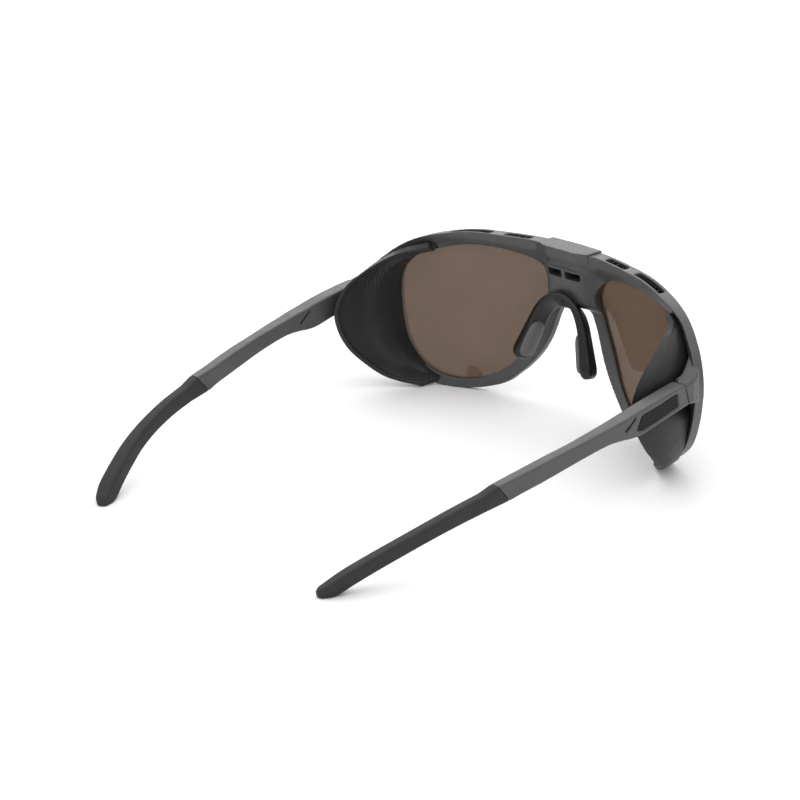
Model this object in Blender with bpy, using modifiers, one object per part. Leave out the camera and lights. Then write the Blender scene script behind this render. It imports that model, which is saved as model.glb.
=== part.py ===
"""Glacier glasses: wrap-round front with two lenses, flexible side shields and folding temples.

All lengths in this file are millimetres, and MM turns them into Blender's metres where a mesh is made.
X is the wearer's left, Y runs back from the brow's front edge to the temple tips, and Z is up.
The empty "glasses" carries everything: it stands the glasses on their rims and tips, and puts the
origin under their middle.
Left pieces are drawn, and right pieces are their mirror image (side = -1).
"""

import math

import bmesh
import bpy
from mathutils import Matrix, Vector

MM = 0.001
GAP = 0.3
SIDES = (("left", 1), ("right", -1))

# Front: a double-curved face, bent round the head (X) and slightly up the face (Z).
LENGTH_TO_CENTRE = 73.92
STANDING_TILT = math.radians(0.49)
STANDING_DROP = 1.13
FACE_FRONT_Y = -5.6
WRAP_RADIUS = 108.0
RISE_RADIUS = 120.0
FACE_MID_Z = 28.0
TUCK_START_X = 50.0
TUCK_RADIUS = 100.0
RIM_THICKNESS = 2.6
BROW_EXTRA = 2.6
SIDE_EXTRA = 1.4
BRIDGE_EXTRA = 3.0
SLAB_CELL = 5.0

# Outlines are drawn in (x, z), seen from the front.
FRAME_HALF_OUTLINE = (
    (12, 55.8), (26, 55.2), (36.5, 54.6), (45.5, 52.8), (52, 50.8), (57.8, 48.0), (62.6, 44.2), (66.6, 39.8),
    (69.3, 32.5), (68.4, 25.5), (66.4, 18.7), (62.7, 11.4), (58.2, 6.9), (53.6, 3.7), (48.8, 1.5), (44.6, 1.0),
    (36.7, 1.6), (30.1, 3.3), (25.4, 5.4), (21.8, 8.5), (16.3, 14.3), (13.0, 19.1), (10.3, 24.9), (8.0, 31.3),
    (4.9, 36.4),
)
FRAME_TOP_MID = (0, 55.9)
FRAME_ARCH_MID = (0, 38.1)
LENS_OPENING = (
    (10.1, 42.5), (14, 47.4), (21.6, 49.6), (31.4, 50.3), (38.4, 49.6), (44.4, 48.1), (49.7, 46.3), (54.8, 44.2),
    (58.5, 41), (60.6, 36), (60.9, 29.3), (60.1, 22), (58.5, 15.7), (55.5, 10.2), (51.2, 6.4), (44.9, 4.2),
    (38.4, 4.4), (32.8, 6), (27.7, 8.8), (21.8, 14.2), (16.4, 24.2), (12.2, 33.7),
)

# Lens and its groove, as offsets behind the face and beyond the opening.
LENS_FRONT = 0.5
LENS_BACK = 1.7
LENS_BITE = 0.8

# Brow
BUMPER_HALF_WIDTH = 10.2
BUMPER_BOTTOM_Z = 51.8
BUMPER_PROUD = 0.6
VENT_DEPTH = 1.3
VENT_INSERT_HEIGHT = 0.6
INNER_VENT = (16.5, 24.0)
OUTER_VENT = (31.0, 43.0)
VENT_FRONT_OFFSET = 1.5
VENT_BACK_OFFSET = 3.7
BRIDGE_SLOTS = ((-3.4, 46.6), (3.4, 46.6))
BRIDGE_SLOT_SIZE = (4.8, 2.2)

# Hinge: a vertical screw through two ears of the front and one knuckle of the temple.
HINGE_X = 66.0
HINGE_Y = 28.0
KNUCKLE_RADIUS = 1.8
KNUCKLE_Z = (31.0, 32.9)
EAR_Z = (29.3, 34.6)
SCREW_RADIUS = 0.6
SCREW_HEAD_RADIUS = 1.15
SCREW_HEAD_HEIGHT = 0.7
BORE_RADIUS = 0.8
SEAM_MID = (27.4, 32.4)
SEAM_SLOPE = 0.33

# End piece: (y, then (x, z) of the corners inner top, outer top, outer bottom, inner bottom).
END_PIECE = (
    (18.2, (62.6, 40.8), (66.8, 38.6), (67.6, 27.0), (63.4, 26.0)),
    (21.5, (64.2, 39.0), (69.4, 37.6), (69.9, 28.3), (64.8, 27.6)),
    (24.5, (65.2, 37.1), (70.2, 36.4), (70.5, 28.8), (65.4, 28.5)),
)
END_PIECE_REAR = ((65.4, 35.9), (70.3, 35.6), (70.4, 28.9), (65.4, 28.9))

# Temple: (y, centre x, centre z, width, height).
ARM_STATIONS = (
    (34.0, 68.0, 31.5, 5.0, 7.2),
    (41.0, 68.1, 30.3, 5.0, 7.4),
    (47.5, 68.0, 29.0, 5.0, 7.6),
    (51.0, 67.9, 28.6, 5.0, 7.1),
    (55.0, 67.8, 28.4, 4.8, 6.1),
    (60.0, 67.5, 27.9, 4.5, 5.1),
    (66.0, 67.1, 26.9, 4.2, 4.9),
    (73.0, 66.5, 25.5, 3.8, 5.1),
    (80.0, 65.7, 24.1, 3.9, 5.4),
    (87.0, 64.8, 22.6, 3.9, 5.6),
    (93.0, 63.9, 21.3, 3.7, 5.7),
)
SLEEVE_SEAM = (98.6, 63.1, 20.0, 3.6, 5.5)
SEAM_LEAN = 0.9
SLEEVE_STATIONS = (
    (105.0, 62.2, 18.5, 3.7, 5.1),
    (114.0, 60.6, 16.5, 3.8, 4.8),
    (123.0, 58.5, 13.9, 3.9, 4.5),
    (131.0, 56.0, 11.0, 4.0, 4.4),
    (138.0, 53.1, 7.9, 4.1, 4.4),
    (144.5, 50.1, 4.6, 4.1, 4.4),
    (149.0, 47.9, 1.9, 4.0, 4.2),
    (151.6, 46.6, 0.9, 3.3, 3.4),
    (152.8, 46.0, 0.6, 1.9, 2.0),
)
CORE_RADIUS = 0.6
CORE_BORE_RADIUS = 0.9
CORE_END_STATION = 4

# Emblem recess in the temple's outer face, as (y, z) corners.
EMBLEM = ((31.8, 34.0), (47.6, 31.2), (49.6, 26.9), (46.6, 26.4), (31.0, 29.6))
EMBLEM_DEPTH = 1.1
EMBLEM_THICKNESS = 0.7

# Slit through the temple behind the emblem, as (y, z) corners.
SLIT = ((49.4, 31.2), (50.2, 31.4), (54.3, 28.1), (54.0, 27.3))

# Nose saddle: (x, y, z, width, thickness) down one leg from the middle of the arch.
SADDLE_STATIONS = (
    (0.0, 3.6, 39.4, 6.4, 2.2),
    (3.2, 3.6, 38.8, 6.3, 2.3),
    (6.4, 3.8, 36.6, 6.2, 2.5),
    (8.7, 4.3, 33.2, 6.0, 2.8),
    (10.3, 4.9, 29.4, 6.0, 3.1),
    (11.9, 5.7, 25.2, 6.2, 3.4),
    (13.5, 6.6, 21.2, 5.8, 3.4),
    (14.4, 7.1, 18.9, 4.2, 2.6),
)
PAD_RUN = (3, 7)
PAD_THICKNESS = 1.9
SADDLE_LUG = (5.0, 1.8)
SADDLE_LUG_Y = (-2.0, 3.4)

# Side shield: where it meets the rim (x, z), and its free rear edge (x, y, z), top to bottom.
SHIELD_THICKNESS = 1.2
SHIELD_SEAT = 0.7
SHIELD_RIM_EDGE = (
    (46.5, 48.3), (51.2, 46.8), (56.0, 44.4), (59.8, 40.4), (61.4, 35.4), (61.7, 29.3), (61.0, 22.0),
    (59.3, 15.2), (56.2, 9.6), (52.9, 6.2), (50.6, 4.2), (49.0, 2.6),
)
SHIELD_REAR_EDGE = (
    (47.0, 13.0, 48.4), (52.0, 15.5, 47.2), (56.5, 22.5, 45.6), (59.6, 30.5, 42.2), (61.7, 38.5, 37.5),
    (62.4, 42.6, 30.5), (62.6, 41.2, 23.3), (62.5, 36.6, 15.9), (61.1, 30.5, 9.6), (57.9, 25.2, 4.9),
    (53.8, 20.4, 2.5), (49.8, 17.2, 1.8),
)
SHIELD_BULGE = ((0, 0), (0.08, 0.4), (0.16, 0.8), (0.3, 1.1), (0.5, 1.0), (0.75, 0.5), (1, 0))


def clear_scene():
    for obj in list(bpy.data.objects):
        bpy.data.objects.remove(obj)


def new_collection(name):
    collection = bpy.data.collections.new(name)
    bpy.context.scene.collection.children.link(collection)
    return collection


def new_empty(name, location, parent=None):
    empty = bpy.data.objects.new(name, None)
    empty.location = Vector(location) * MM
    empty.empty_display_size = 0.005
    empty.parent = parent
    PARTS.objects.link(empty)
    return empty


def new_material(name, color, roughness, metallic=0.0):
    material = bpy.data.materials.new(name)
    material.use_nodes = True
    shader = material.node_tree.nodes["Principled BSDF"]
    shader.inputs["Base Color"].default_value = (*color, 1.0)
    shader.inputs["Roughness"].default_value = roughness
    shader.inputs["Metallic"].default_value = metallic
    return material


def mesh_from(bm, name, side=1):
    """The bmesh, in millimetres, as a mesh in metres. side -1 mirrors it to the right."""
    bmesh.ops.transform(bm, matrix=Matrix.Diagonal((side * MM, MM, MM, 1)), verts=bm.verts)
    bmesh.ops.recalc_face_normals(bm, faces=bm.faces)
    mesh = bpy.data.meshes.new(name)
    bm.to_mesh(mesh)
    bm.free()
    mesh.shade_smooth()
    mesh.set_sharp_from_angle(angle=math.radians(35))
    return mesh


def add_part(name, bm, material, side=1, hinge=None):
    """One named piece. A piece with a hinge is parented to the empty on its hinge axis."""
    obj = bpy.data.objects.new(name, mesh_from(bm, name, side))
    obj.data.materials.append(material)
    obj.parent = hinge or GLASSES
    if hinge:
        obj.location = -hinge.location
    PARTS.objects.link(obj)
    return obj


def add_cutter(name, bm, side=1):
    obj = bpy.data.objects.new(name, mesh_from(bm, name, side))
    obj.parent = GLASSES
    obj.hide_render = True
    obj.display_type = "WIRE"
    CUTTERS.objects.link(obj)
    return obj


def combine(obj, other, operation):
    modifier = obj.modifiers.new(f"{operation.lower()} {other.name}", "BOOLEAN")
    modifier.operation = operation
    modifier.solver = "EXACT"
    modifier.object = other


def smooth_step(low, high, value):
    t = min(max((value - low) / (high - low), 0.0), 1.0)
    return t * t * (3 - 2 * t)


def face_y(x, z):
    """Depth of the front's outer face."""
    tuck = max(abs(x) - TUCK_START_X, 0.0) ** 2 / (2 * TUCK_RADIUS)
    return FACE_FRONT_Y + x * x / (2 * WRAP_RADIUS) + (z - FACE_MID_Z) ** 2 / (2 * RISE_RADIUS) + tuck


def rim_depth(x, z):
    """Thickness of the front behind its face: deeper at the brow, the sides and the bridge."""
    x = abs(x)
    brow = BROW_EXTRA * smooth_step(47, 53, z)
    side = SIDE_EXTRA * smooth_step(50, 62, x)
    bridge = BRIDGE_EXTRA * (1 - smooth_step(4, 13, x)) * smooth_step(36, 40, z)
    return RIM_THICKNESS + brow + side + bridge


def curved_slab(front, back, x_range=(-72.0, 72.0), z_range=(-3.0, 60.0), cell=SLAB_CELL):
    """A slab that follows the front's face between two offsets, each a function of (x, z)."""
    bm = bmesh.new()
    columns = round((x_range[1] - x_range[0]) / cell)
    rows = round((z_range[1] - z_range[0]) / cell)
    bmesh.ops.create_grid(bm, x_segments=columns, y_segments=rows, size=0.5)
    solid = bmesh.ops.extrude_face_region(bm, geom=bm.faces[:])
    moved = {item for item in solid["geom"] if isinstance(item, bmesh.types.BMVert)}
    for vert in bm.verts:
        x = x_range[0] + (vert.co.x + 0.5) * (x_range[1] - x_range[0])
        z = z_range[0] + (vert.co.y + 0.5) * (z_range[1] - z_range[0])
        offset = back(x, z) if vert in moved else front(x, z)
        vert.co = (x, face_y(x, z) + offset, z)
    return bm


def outline_prism(loops, y_range=(-20.0, 45.0), steps=4):
    """The closed outlines, in (x, z) and each inside the one before, filled and extruded along Y."""
    curve = bpy.data.curves.new("outline", "CURVE")
    curve.dimensions = "2D"
    curve.fill_mode = "BOTH"
    curve.resolution_u = steps
    curve.extrude = (y_range[1] - y_range[0]) / 2
    for loop in loops:
        spline = curve.splines.new("BEZIER")
        spline.bezier_points.add(len(loop) - 1)
        spline.use_cyclic_u = True
        for point, (x, z) in zip(spline.bezier_points, loop):
            point.co = (x, z, 0)
            point.handle_left_type = "AUTO"
            point.handle_right_type = "AUTO"
    holder = bpy.data.objects.new("outline", curve)
    bpy.context.scene.collection.objects.link(holder)
    mesh = bpy.data.meshes.new_from_object(holder.evaluated_get(bpy.context.evaluated_depsgraph_get()))
    bpy.data.objects.remove(holder)
    bm = bmesh.new()
    bm.from_mesh(mesh)
    turn = Matrix.Translation((0, sum(y_range) / 2, 0)) @ Matrix.Rotation(math.pi / 2, 4, "X")
    bmesh.ops.transform(bm, matrix=turn, verts=bm.verts)
    bmesh.ops.remove_doubles(bm, verts=bm.verts, dist=0.001)
    return bm


def grown(loop, distance):
    """The closed outline moved outwards by distance, away from its inside."""
    count = len(loop)
    area = sum(a[0] * b[1] - b[0] * a[1] for a, b in zip(loop, loop[1:] + loop[:1]))
    turn = math.copysign(1.0, area)
    moved = []
    for i, (x, z) in enumerate(loop):
        before, after = loop[i - 1], loop[(i + 1) % count]
        along = Vector((after[0] - before[0], after[1] - before[1])).normalized()
        moved.append((x + turn * along.y * distance, z - turn * along.x * distance))
    return tuple(moved)


def mirrored(loop):
    return tuple((-x, z) for x, z in reversed(loop))


def loft(rings):
    """A closed body through rings of equally many points."""
    bm = bmesh.new()
    loops = [[bm.verts.new(point) for point in ring] for ring in rings]
    count = len(loops[0])
    for one, two in zip(loops, loops[1:]):
        for i in range(count):
            j = (i + 1) % count
            bm.faces.new((one[i], one[j], two[j], two[i]))
    bm.faces.new(reversed(loops[0]))
    bm.faces.new(loops[-1])
    return bm


def chamfered(corners, chamfer=0.8):
    """The polygon with each corner cut back by chamfer along both of its edges."""
    corners = [Vector(corner) for corner in corners]
    points = []
    for i, corner in enumerate(corners):
        for other in (corners[i - 1], corners[(i + 1) % len(corners)]):
            points.append(corner + (other - corner).normalized() * chamfer)
    return points


def cylinder(x, y, z_range, radius, segments=24):
    bm = bmesh.new()
    height = z_range[1] - z_range[0]
    place = Matrix.Translation((x, y, z_range[0] + height / 2))
    bmesh.ops.create_cone(
        bm, cap_ends=True, segments=segments, radius1=radius, radius2=radius, depth=height, matrix=place
    )
    return bm


def box(low, high):
    bm = bmesh.new()
    size = Vector(high) - Vector(low)
    place = Matrix.Translation((Vector(low) + Vector(high)) / 2) @ Matrix.Diagonal((*size, 1))
    bmesh.ops.create_cube(bm, size=1.0, matrix=place)
    return bm


def plate(corners, x_range):
    """A flat plate standing in the YZ plane, through the given (y, z) corners."""
    return loft([[(x, y, z) for y, z in corners] for x in x_range])


def tube(points, radius):
    """A round wire along the points, made from a bevelled curve with filled caps."""
    curve = bpy.data.curves.new("wire", "CURVE")
    curve.dimensions = "3D"
    curve.bevel_depth = radius
    curve.bevel_resolution = 2
    curve.use_fill_caps = True
    spline = curve.splines.new("POLY")
    spline.points.add(len(points) - 1)
    for point, place in zip(spline.points, points):
        point.co = (*place, 1)
    holder = bpy.data.objects.new("wire", curve)
    bpy.context.scene.collection.objects.link(holder)
    mesh = bpy.data.meshes.new_from_object(holder.evaluated_get(bpy.context.evaluated_depsgraph_get()))
    bpy.data.objects.remove(holder)
    bm = bmesh.new()
    bm.from_mesh(mesh)
    bmesh.ops.remove_doubles(bm, verts=bm.verts, dist=0.001)
    return bm


def through(points, per_span):
    """Points along the smooth curve (Catmull-Rom) through the given ones."""
    points = [Vector(point) for point in points]
    padded = [2 * points[0] - points[1], *points, 2 * points[-1] - points[-2]]
    found = []
    for a, b, c, d in zip(padded, padded[1:], padded[2:], padded[3:]):
        for step in range(per_span):
            t = step / per_span
            second = (2 * a - 5 * b + 4 * c - d) * t**2
            third = (3 * b - a - 3 * c + d) * t**3
            found.append(0.5 * (2 * b + (c - a) * t + second + third))
    return found + [points[-1]]


def frame_outline():
    return (FRAME_TOP_MID, *FRAME_HALF_OUTLINE, FRAME_ARCH_MID, *mirrored(FRAME_HALF_OUTLINE))


def seam_y(z):
    return SEAM_MID[0] + (z - SEAM_MID[1]) * SEAM_SLOPE


def end_piece():
    rings = [[(p.x, y, p.y) for p in chamfered(corners)] for y, *corners in END_PIECE]
    rings.append([(p.x, seam_y(p.y) - GAP / 2, p.y) for p in chamfered(END_PIECE_REAR)])
    return loft(rings)


def vent_cutter(x_range):
    """A slot sunk into the brow's top along the face."""
    z_range = (brow_top(x_range) - VENT_DEPTH, 60)
    return curved_slab(lambda x, z: VENT_FRONT_OFFSET, lambda x, z: VENT_BACK_OFFSET, x_range, z_range, 2.5)


def brow_top(x_range):
    """Height of the brow's top edge at the outer end of a vent."""
    outline = FRAME_HALF_OUTLINE
    x = x_range[1]
    for (x0, z0), (x1, z1) in zip(outline, outline[1:]):
        if x0 <= x <= x1:
            return z0 + (z1 - z0) * (x - x0) / (x1 - x0)
    return outline[0][1]


def front_frame():
    frame = add_part("front_frame", curved_slab(lambda x, z: 0.0, rim_depth), FRAME_PLASTIC)
    loops = [frame_outline(), LENS_OPENING, mirrored(LENS_OPENING)]
    combine(frame, add_cutter("frame_outline", outline_prism(loops)), "INTERSECT")
    for side_name, side in SIDES:
        combine(frame, add_cutter(f"end_piece_{side_name}", end_piece(), side), "UNION")
        for ear, z_range in enumerate(((EAR_Z[0], KNUCKLE_Z[0] - GAP), (KNUCKLE_Z[1] + GAP, EAR_Z[1]))):
            body = cylinder(HINGE_X, HINGE_Y, z_range, KNUCKLE_RADIUS)
            combine(frame, add_cutter(f"hinge_ear_{side_name}_{ear}", body, side), "UNION")
        slot = cylinder(HINGE_X, HINGE_Y, (KNUCKLE_Z[0] - GAP, KNUCKLE_Z[1] + GAP), KNUCKLE_RADIUS + GAP)
        combine(frame, add_cutter(f"knuckle_slot_{side_name}", slot, side), "DIFFERENCE")
        bore = cylinder(HINGE_X, HINGE_Y, (27.0, 38.0), BORE_RADIUS)
        combine(frame, add_cutter(f"screw_bore_{side_name}", bore, side), "DIFFERENCE")
        head_top = EAR_Z[0] + SCREW_HEAD_HEIGHT + GAP
        sink = cylinder(HINGE_X, HINGE_Y, (27.0, head_top), SCREW_HEAD_RADIUS + GAP)
        combine(frame, add_cutter(f"head_sink_{side_name}", sink, side), "DIFFERENCE")
        groove = add_cutter(f"lens_groove_{side_name}", lens_slab(GAP), side)
        outline = outline_prism([grown(LENS_OPENING, LENS_BITE + GAP)])
        combine(groove, add_cutter(f"groove_outline_{side_name}", outline, side), "INTERSECT")
        combine(frame, groove, "DIFFERENCE")
        for vent_name, x_range in (("inner", INNER_VENT), ("outer", OUTER_VENT)):
            vent = add_cutter(f"{vent_name}_vent_{side_name}", vent_cutter(x_range), side)
            combine(frame, vent, "DIFFERENCE")
    pocket = bumper_slab(GAP)
    combine(frame, add_cutter("bumper_pocket", pocket), "DIFFERENCE")
    width, height = BRIDGE_SLOT_SIZE
    for i, (x, z) in enumerate(BRIDGE_SLOTS):
        slot = box((x - width / 2, -20, z - height / 2), (x + width / 2, 20, z + height / 2))
        combine(frame, add_cutter(f"bridge_slot_{i}", slot), "DIFFERENCE")
    combine(frame, add_cutter("saddle_socket", saddle_lug(GAP)), "DIFFERENCE")
    floor = add_cutter("floor", box((-90, -110, -10), (90, 110, 0)))
    floor.parent = None
    combine(frame, floor, "DIFFERENCE")


def lens_slab(grow):
    return curved_slab(lambda x, z: LENS_FRONT - grow, lambda x, z: LENS_BACK + grow, (3.0, 66.0), (0.0, 56.0))


def lens(side_name, side):
    name = f"lens_{side_name}"
    piece = add_part(name, lens_slab(0.0), LENS_TINT, side)
    outline = outline_prism([grown(LENS_OPENING, LENS_BITE)])
    combine(piece, add_cutter(f"{name}_outline", outline, side), "INTERSECT")


def bumper_slab(grow):
    """The bumper lies over the middle of the brow, a little proud of its face and its top."""
    half = BUMPER_HALF_WIDTH + grow
    proud = BUMPER_PROUD
    return curved_slab(
        lambda x, z: -proud if grow == 0 else -5.0,
        lambda x, z: rim_depth(x, z) + proud if grow == 0 else 15.0,
        (-half, half),
        (BUMPER_BOTTOM_Z - grow, FRAME_TOP_MID[1] + proud if grow == 0 else 60.0),
        3.0,
    )


def saddle_frame(stations):
    """For each station of the saddle: centre, width direction and outward thickness direction."""
    centres = [Vector(station[:3]) for station in stations]
    frames = []
    for i, centre in enumerate(centres):
        before = centres[i - 1] if i else Vector((-centres[1].x, centres[1].y, centres[1].z))
        after = centres[min(i + 1, len(centres) - 1)]
        along = (after - before).normalized()
        leg = i / (len(centres) - 1)
        across = Vector((0.35 * min(leg * 2, 1), 0.62 + 0.3 * leg, 0.78 * (1 - leg) ** 2))
        across = (across - along * across.dot(along)).normalized()
        frames.append((centre, across, along.cross(across).normalized()))
    return frames


def saddle_rings():
    rings = []
    for (*_, width, thickness), (centre, across, out) in zip(SADDLE_STATIONS, saddle_frame(SADDLE_STATIONS)):
        w, t = width / 2, thickness / 2
        corners = [(-w, -t), (w, -t), (w, t), (-w, t)]
        rings.append([centre + across * p.x + out * p.y for p in chamfered(corners, 0.5)])
    return rings


def flipped(ring):
    """The ring mirrored to the other side, its points kept in step with the ones it joins."""
    return [Vector((-p.x, p.y, p.z)) for p in ring]


def saddle_lug(grow):
    width, height = SADDLE_LUG
    middle = SADDLE_STATIONS[0][2] + 0.6
    low = (-width / 2 - grow, SADDLE_LUG_Y[0] - grow, middle - height / 2 - grow)
    high = (width / 2 + grow, SADDLE_LUG_Y[1], middle + height / 2 + grow)
    return box(low, high)


def nose_saddle():
    left = saddle_rings()
    right = [flipped(ring) for ring in left[:0:-1]]
    saddle = add_part("nose_saddle", loft(right + left), SADDLE_PLASTIC)
    combine(saddle, add_cutter("saddle_lug", saddle_lug(0.0)), "UNION")


def nose_pad(side_name, side):
    """A soft cushion on the nose side of a saddle leg."""
    first, last = PAD_RUN
    frames = saddle_frame(SADDLE_STATIONS)[first : last + 1]
    stations = SADDLE_STATIONS[first : last + 1]
    rings = []
    for i, ((*_, width, thickness), (centre, across, out)) in enumerate(zip(stations, frames)):
        swell = math.sin(math.pi * (0.16 + 0.68 * i / (last - first)))
        w = width / 2 * (0.55 + 0.4 * swell)
        low = -(thickness / 2 + GAP)
        high = low - PAD_THICKNESS * swell
        corners = [(-w, low), (-w * 0.75, high), (w * 0.75, high), (w, low)]
        rings.append([centre + across * p.x + out * p.y for p in chamfered(corners, 0.35)])
    add_part(f"nose_pad_{side_name}", loft(rings), PAD_RUBBER, side)


def side_shield(side_name, side):
    """A flexible sheet from the rim back to its free edge beside the eye."""
    per_span = 3
    clear = SHIELD_THICKNESS / 2 + GAP + SHIELD_SEAT
    start = [(x, face_y(x, z) + rim_depth(x, z) + clear, z) for x, z in SHIELD_RIM_EDGE]
    near, far = through(start, per_span), through(SHIELD_REAR_EDGE, per_span)
    bm = bmesh.new()
    grid = []
    for t, bulge in SHIELD_BULGE:
        side_on = [smooth_step(44, 60, a.x) for a in near]
        row = [a.lerp(b, t) + Vector((bulge * s, 0, 0)) for a, b, s in zip(near, far, side_on)]
        grid.append([bm.verts.new(point) for point in row])
    for one, two in zip(grid, grid[1:]):
        for i in range(len(one) - 1):
            bm.faces.new((one[i], one[i + 1], two[i + 1], two[i]))
    shield = add_part(f"side_shield_{side_name}", bm, SHIELD_RUBBER, side)
    solid = shield.modifiers.new("thickness", "SOLIDIFY")
    solid.thickness = SHIELD_THICKNESS * MM
    solid.offset = 0.0
    solid.use_even_offset = True


def vent_insert(side_name, side):
    """The dark floor of each of the two brow vents on this side."""
    for vent_name, (x0, x1) in (("inner", INNER_VENT), ("outer", OUTER_VENT)):
        low = brow_top((x0, x1)) - VENT_DEPTH + GAP
        body = curved_slab(
            lambda x, z: VENT_FRONT_OFFSET + GAP,
            lambda x, z: VENT_BACK_OFFSET - GAP,
            (x0 + GAP, x1 - GAP),
            (low, low + VENT_INSERT_HEIGHT),
            2.0,
        )
        add_part(f"vent_insert_{vent_name}_{side_name}", body, VENT_PLASTIC, side)


def hinge_screw(side_name, side):
    head_top = EAR_Z[0] + SCREW_HEAD_HEIGHT
    screw = add_part(
        f"hinge_screw_{side_name}",
        cylinder(HINGE_X, HINGE_Y, (EAR_Z[0] + 0.05, head_top), SCREW_HEAD_RADIUS),
        STEEL,
        side,
    )
    shank = cylinder(HINGE_X, HINGE_Y, (head_top - 0.3, EAR_Z[1] - 0.2), SCREW_RADIUS, 16)
    combine(screw, add_cutter(f"screw_shank_{side_name}", shank, side), "UNION")
    slot = box((HINGE_X - 2, HINGE_Y - 0.2, 28.0), (HINGE_X + 2, HINGE_Y + 0.2, EAR_Z[0] + 0.35))
    combine(screw, add_cutter(f"screw_slot_{side_name}", slot, side), "DIFFERENCE")


def station_ring(station, lean_x, lean_z, chamfer=0.9):
    """A chamfered rectangle, leaning so that it stands square to the temple's run."""
    y, x, z, width, height = station
    w, h = width / 2, height / 2
    cut = min(chamfer, w * 0.7, h * 0.7)
    ring = chamfered([(w, h), (w, -h), (-w, -h), (-w, h)], cut)
    return [(x + p.x, y + lean_x * p.x + lean_z * p.y, z + p.y) for p in ring]


def run_rings(stations):
    rings = []
    for i, station in enumerate(stations):
        before, after = stations[max(i - 1, 0)], stations[min(i + 1, len(stations) - 1)]
        run = after[0] - before[0]
        rings.append(station_ring(station, -(after[1] - before[1]) / run, -(after[2] - before[2]) / run))
    return rings


def temple_arm(side_name, side, hinge):
    start = (SEAM_MID[0] + GAP / 2, 67.9, 32.4, 4.9, 6.8)
    first = [(x, seam_y(z) + GAP / 2, z) for x, _, z in station_ring(start, 0, 0)]
    last = station_ring(SLEEVE_SEAM, 0, SEAM_LEAN)
    arm = add_part(
        f"temple_arm_{side_name}", loft([first, *run_rings(ARM_STATIONS), last]), FRAME_PLASTIC, side, hinge
    )
    for i, z_range in enumerate(((26.0, KNUCKLE_Z[0]), (KNUCKLE_Z[1], EAR_Z[1] + GAP))):
        relief = cylinder(HINGE_X, HINGE_Y, z_range, KNUCKLE_RADIUS + GAP)
        combine(arm, add_cutter(f"ear_relief_{side_name}_{i}", relief, side), "DIFFERENCE")
    knuckle = cylinder(HINGE_X, HINGE_Y, KNUCKLE_Z, KNUCKLE_RADIUS)
    combine(arm, add_cutter(f"knuckle_{side_name}", knuckle, side), "UNION")
    bore = cylinder(HINGE_X, HINGE_Y, (27.0, 38.0), BORE_RADIUS, 16)
    combine(arm, add_cutter(f"knuckle_bore_{side_name}", bore, side), "DIFFERENCE")
    outer = ARM_STATIONS[1][1] + ARM_STATIONS[1][3] / 2
    recess = plate(EMBLEM, (outer - EMBLEM_DEPTH, outer + 4))
    combine(arm, add_cutter(f"emblem_recess_{side_name}", recess, side), "DIFFERENCE")
    combine(arm, add_cutter(f"slit_{side_name}", plate(SLIT, (60.0, 75.0)), side), "DIFFERENCE")
    socket = add_cutter(f"core_socket_arm_{side_name}", core_tube(CORE_BORE_RADIUS, GAP), side)
    combine(arm, socket, "DIFFERENCE")
    corners = grown(EMBLEM, -GAP)
    low = outer - EMBLEM_DEPTH + GAP
    emblem = plate(corners, (low, low + EMBLEM_THICKNESS - GAP))
    add_part(f"emblem_plate_{side_name}", emblem, EMBLEM_BLACK, side, hinge)


def core_tube(radius, longer):
    """The wire inside the temple, from the rigid arm into the soft tip."""
    stations = (ARM_STATIONS[-1], SLEEVE_SEAM, *SLEEVE_STATIONS[:CORE_END_STATION])
    points = [Vector((x, y, z)) for y, x, z, _, _ in stations]
    points[0] -= (points[1] - points[0]).normalized() * longer
    points[-1] += (points[-1] - points[-2]).normalized() * longer
    return tube(points, radius)


def temple_tip(side_name, side, hinge):
    y, *rest = SLEEVE_SEAM
    first = station_ring((y + GAP, *rest), 0, SEAM_LEAN)
    tip = add_part(
        f"temple_tip_{side_name}", loft([first, *run_rings(SLEEVE_STATIONS)]), TIP_RUBBER, side, hinge
    )
    socket = add_cutter(f"core_socket_tip_{side_name}", core_tube(CORE_BORE_RADIUS, GAP), side)
    combine(tip, socket, "DIFFERENCE")
    combine(tip, bpy.data.objects["floor"], "DIFFERENCE")
    add_part(f"temple_core_{side_name}", core_tube(CORE_RADIUS, 0.0), STEEL, side, hinge)


def build():
    front_frame()
    add_part("brow_bumper", bumper_slab(0.0), BUMPER_PLASTIC)
    nose_saddle()
    for side_name, side in SIDES:
        hinge = new_empty(f"hinge_axis_{side_name}", (side * HINGE_X, HINGE_Y, KNUCKLE_Z[0]), GLASSES)
        lens(side_name, side)
        nose_pad(side_name, side)
        side_shield(side_name, side)
        vent_insert(side_name, side)
        hinge_screw(side_name, side)
        temple_arm(side_name, side, hinge)
        temple_tip(side_name, side, hinge)


clear_scene()
PARTS = new_collection("glacier_glasses")
CUTTERS = new_collection("cutters")
GLASSES = new_empty("glasses", (0, -LENGTH_TO_CENTRE, -STANDING_DROP))
GLASSES.rotation_euler.x = STANDING_TILT
FRAME_PLASTIC = new_material("matte charcoal plastic", (0.045, 0.045, 0.046), 0.55)
BUMPER_PLASTIC = new_material("brow bumper plastic", (0.05, 0.05, 0.052), 0.5)
LENS_TINT = new_material("brown lens", (0.12, 0.07, 0.045), 0.08)
SADDLE_PLASTIC = new_material("black saddle rubber", (0.012, 0.012, 0.012), 0.35)
PAD_RUBBER = new_material("grey pad rubber", (0.09, 0.095, 0.09), 0.6)
SHIELD_RUBBER = new_material("side shield rubber", (0.02, 0.02, 0.021), 0.6)
VENT_PLASTIC = new_material("black vent plastic", (0.01, 0.01, 0.01), 0.6)
TIP_RUBBER = new_material("temple tip rubber", (0.028, 0.028, 0.028), 0.7)
EMBLEM_BLACK = new_material("black emblem plate", (0.01, 0.01, 0.012), 0.3)
STEEL = new_material("stainless steel", (0.55, 0.55, 0.56), 0.3, 1.0)
build()
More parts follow.
